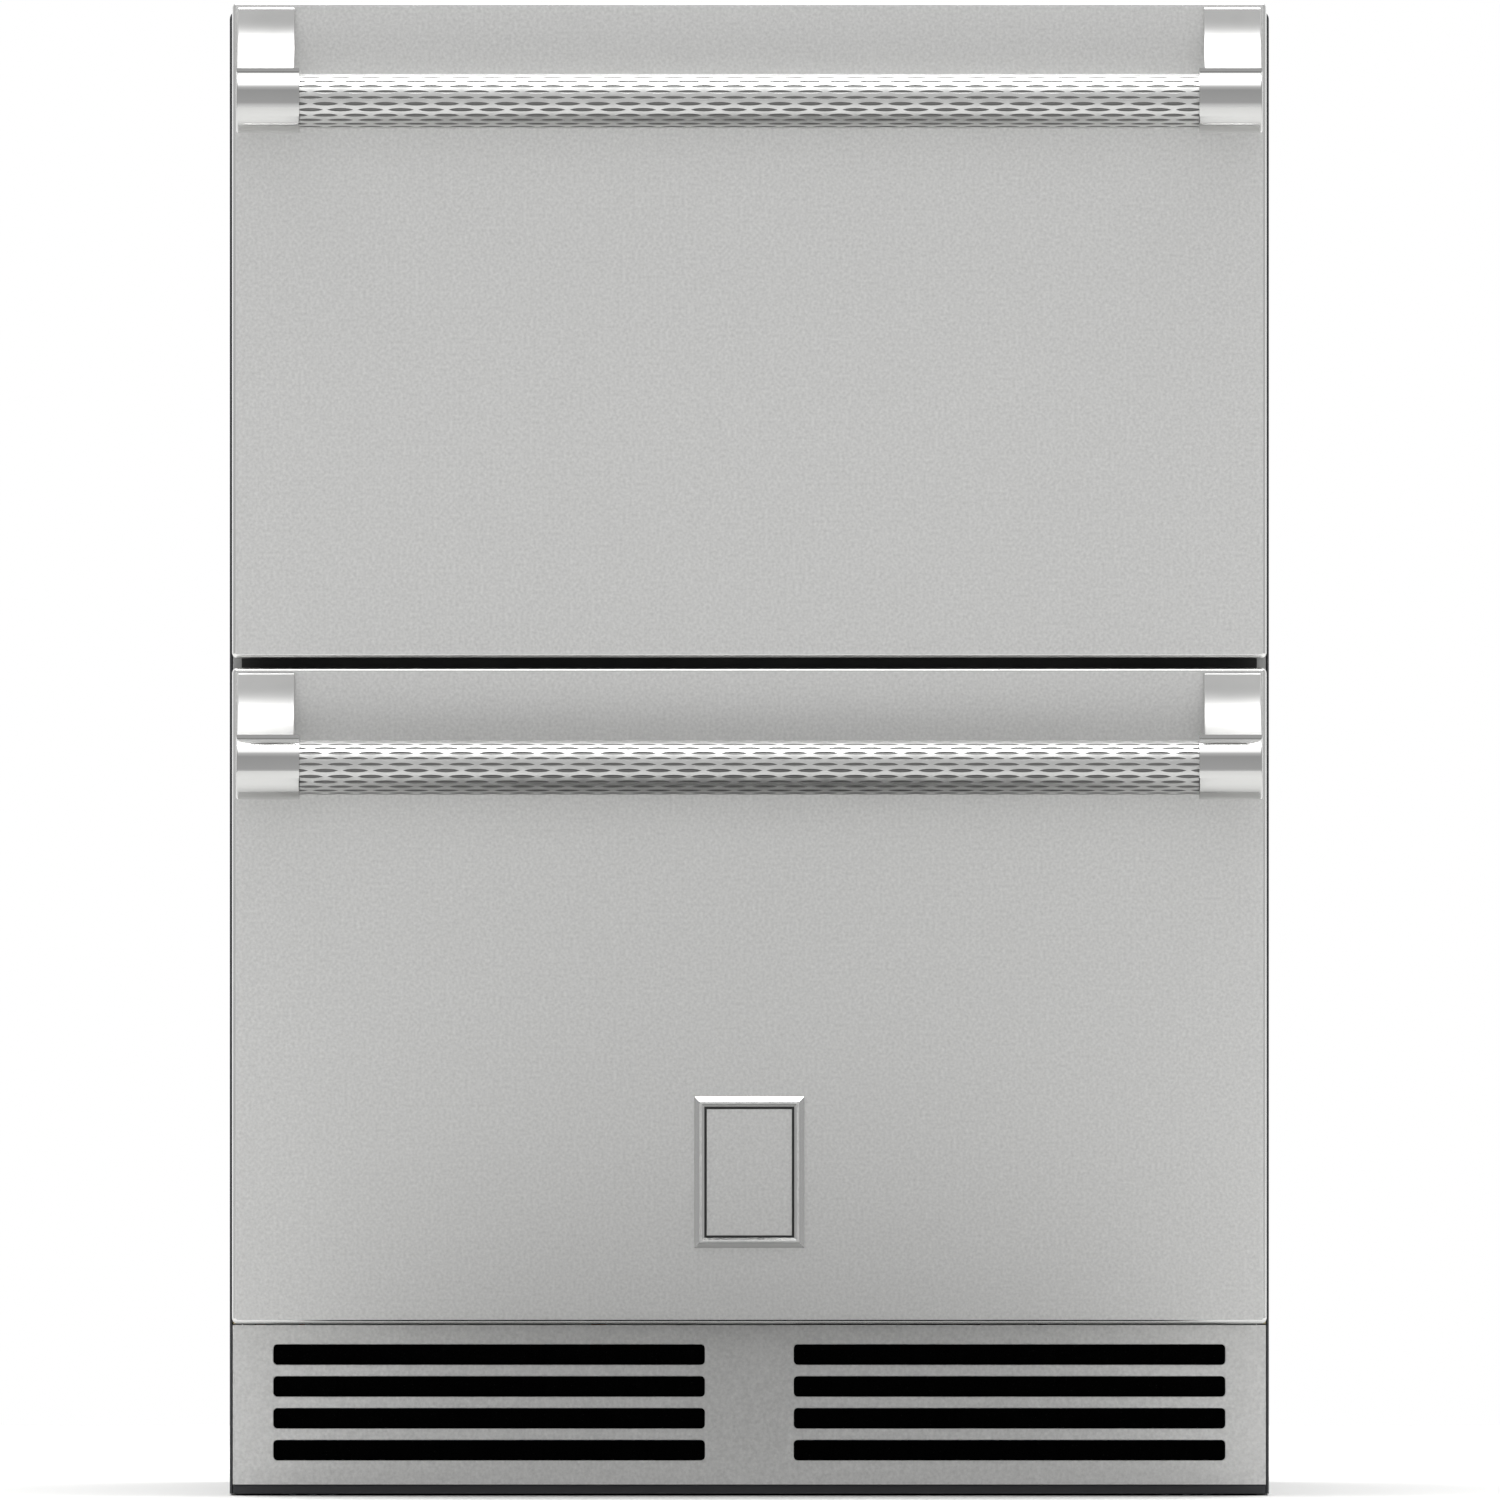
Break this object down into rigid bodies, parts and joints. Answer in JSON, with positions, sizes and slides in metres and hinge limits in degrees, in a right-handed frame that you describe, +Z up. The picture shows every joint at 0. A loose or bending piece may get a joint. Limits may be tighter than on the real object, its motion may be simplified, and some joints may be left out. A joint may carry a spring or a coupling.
{
  "type": "undercounter drawer refrigerator",
  "caption": "Undercounter refrigerator with stacked pull-out cold drawers, bar handles on swept brackets, a bare badge plate and a slotted vent grille at the toe.",
  "frame": {"origin": "on the floor, at the middle of the footprint from the handles' front to the rear panel", "axes": "+X to the right as seen from the front, +Y to the rear, +Z up; the drawers open towards -Y"},
  "size_m": [0.606, 0.6956, 0.87],
  "materials": {
    "coated_steel": "satin",
    "stainless_satin": "satin",
    "stainless_polished": "polished",
    "galvanised_steel": "satin",
    "insulating_foam": "matte",
    "white_plastic": "satin",
    "black_plastic": "satin",
    "grey_plastic": "satin",
    "gasket_rubber": "matte",
    "light_lens": "satin",
    "black_enamel": "gloss",
    "copper": "satin",
    "aluminium": "satin"
  },
  "bodies": {
    "cabinet": {"cabinet_wrap": "coated_steel", "rear_panel": "galvanised_steel", "cabinet_insulation": "insulating_foam", "inner_liner": "stainless_satin", "face_frame": "black_plastic", "base_pan": "coated_steel", "vent_grille": "stainless_satin", "rear_cover": "galvanised_steel", "power_inlet": "black_plastic", "interior_light": "light_lens", "temperature_control": "grey_plastic", "upper_slide_cabinet_member_left": "galvanised_steel", "upper_slide_cabinet_member_right": "galvanised_steel", "lower_slide_cabinet_member_left": "galvanised_steel", "lower_slide_cabinet_member_right": "galvanised_steel", "compressor": "black_enamel", "compressor_relay_cover": "black_plastic", "condenser": "black_enamel", "condenser_fan_shroud": "black_plastic", "condenser_fan_motor": "black_plastic", "air_baffle": "galvanised_steel", "drain_tube": "white_plastic", "drain_pan": "black_plastic", "control_box": "grey_plastic", "discharge_line": "copper", "liquid_line": "copper", "suction_line": "copper", "evaporator_cover": "white_plastic", "evaporator_coil": "aluminium", "evaporator_fan_motor": "black_plastic"},
    "upper_drawer": {"upper_front_panel": "stainless_satin", "upper_inner_panel": "white_plastic", "upper_gasket": "gasket_rubber", "upper_handle_bar": "stainless_polished", "upper_handle_bracket_left": "stainless_polished", "upper_handle_bracket_right": "stainless_polished", "upper_bin": "stainless_satin", "upper_slide_drawer_member_left": "galvanised_steel", "upper_slide_drawer_member_right": "galvanised_steel"},
    "lower_drawer": {"lower_front_panel": "stainless_satin", "lower_inner_panel": "white_plastic", "lower_gasket": "gasket_rubber", "lower_handle_bar": "stainless_polished", "lower_handle_bracket_left": "stainless_polished", "lower_handle_bracket_right": "stainless_polished", "lower_bin": "stainless_satin", "lower_slide_drawer_member_left": "galvanised_steel", "lower_slide_drawer_member_right": "galvanised_steel", "badge_plate": "stainless_satin"},
    "upper_slide_middle_left": {"upper_slide_middle_member_left": "galvanised_steel"},
    "upper_slide_middle_right": {"upper_slide_middle_member_right": "galvanised_steel"},
    "lower_slide_middle_left": {"lower_slide_middle_member_left": "galvanised_steel"},
    "lower_slide_middle_right": {"lower_slide_middle_member_right": "galvanised_steel"},
    "condenser_fan": {"condenser_fan": "grey_plastic"},
    "evaporator_fan": {"evaporator_fan": "grey_plastic"},
    "foot_front_left": {"foot_front_left": "galvanised_steel"},
    "foot_front_right": {"foot_front_right": "galvanised_steel"},
    "foot_rear_left": {"foot_rear_left": "galvanised_steel"},
    "foot_rear_right": {"foot_rear_right": "galvanised_steel"}
  },
  "joints": [
    {"name": "upper_drawer_slide", "type": "slide", "parent": "cabinet", "child": "upper_drawer", "axis": [0, -1, 0], "range_m": [0, 0.43]},
    {"name": "upper_slide_middle_left_slide", "type": "slide", "parent": "cabinet", "child": "upper_slide_middle_left", "axis": [0, -1, 0], "range_m": [0, 0.215]},
    {"name": "upper_slide_middle_right_slide", "type": "slide", "parent": "cabinet", "child": "upper_slide_middle_right", "axis": [0, -1, 0], "range_m": [0, 0.215]},
    {"name": "lower_drawer_slide", "type": "slide", "parent": "cabinet", "child": "lower_drawer", "axis": [0, -1, 0], "range_m": [0, 0.43]},
    {"name": "lower_slide_middle_left_slide", "type": "slide", "parent": "cabinet", "child": "lower_slide_middle_left", "axis": [0, -1, 0], "range_m": [0, 0.215]},
    {"name": "lower_slide_middle_right_slide", "type": "slide", "parent": "cabinet", "child": "lower_slide_middle_right", "axis": [0, -1, 0], "range_m": [0, 0.215]},
    {"name": "condenser_fan_spin", "type": "hinge", "parent": "cabinet", "child": "condenser_fan", "pos_m": [-0.165, -0.11025, 0.0495], "axis": [0, 1, 0], "continuous": true},
    {"name": "evaporator_fan_spin", "type": "hinge", "parent": "cabinet", "child": "evaporator_fan", "pos_m": [0, 0.24975, 0.621], "axis": [0, 1, 0], "continuous": true},
    {"name": "foot_front_left_screw", "type": "slide", "parent": "cabinet", "child": "foot_front_left", "axis": [0, 0, -1], "range_m": [0, 0.025]},
    {"name": "foot_front_right_screw", "type": "slide", "parent": "cabinet", "child": "foot_front_right", "axis": [0, 0, -1], "range_m": [0, 0.025]},
    {"name": "foot_rear_left_screw", "type": "slide", "parent": "cabinet", "child": "foot_rear_left", "axis": [0, 0, -1], "range_m": [0, 0.025]},
    {"name": "foot_rear_right_screw", "type": "slide", "parent": "cabinet", "child": "foot_rear_right", "axis": [0, 0, -1], "range_m": [0, 0.025]}
  ],
  "couplings": [
    {"joint": "upper_slide_middle_left_slide", "follows": "upper_drawer_slide", "ratio": 0.5},
    {"joint": "upper_slide_middle_right_slide", "follows": "upper_drawer_slide", "ratio": 0.5},
    {"joint": "lower_slide_middle_left_slide", "follows": "lower_drawer_slide", "ratio": 0.5},
    {"joint": "lower_slide_middle_right_slide", "follows": "lower_drawer_slide", "ratio": 0.5}
  ]
}
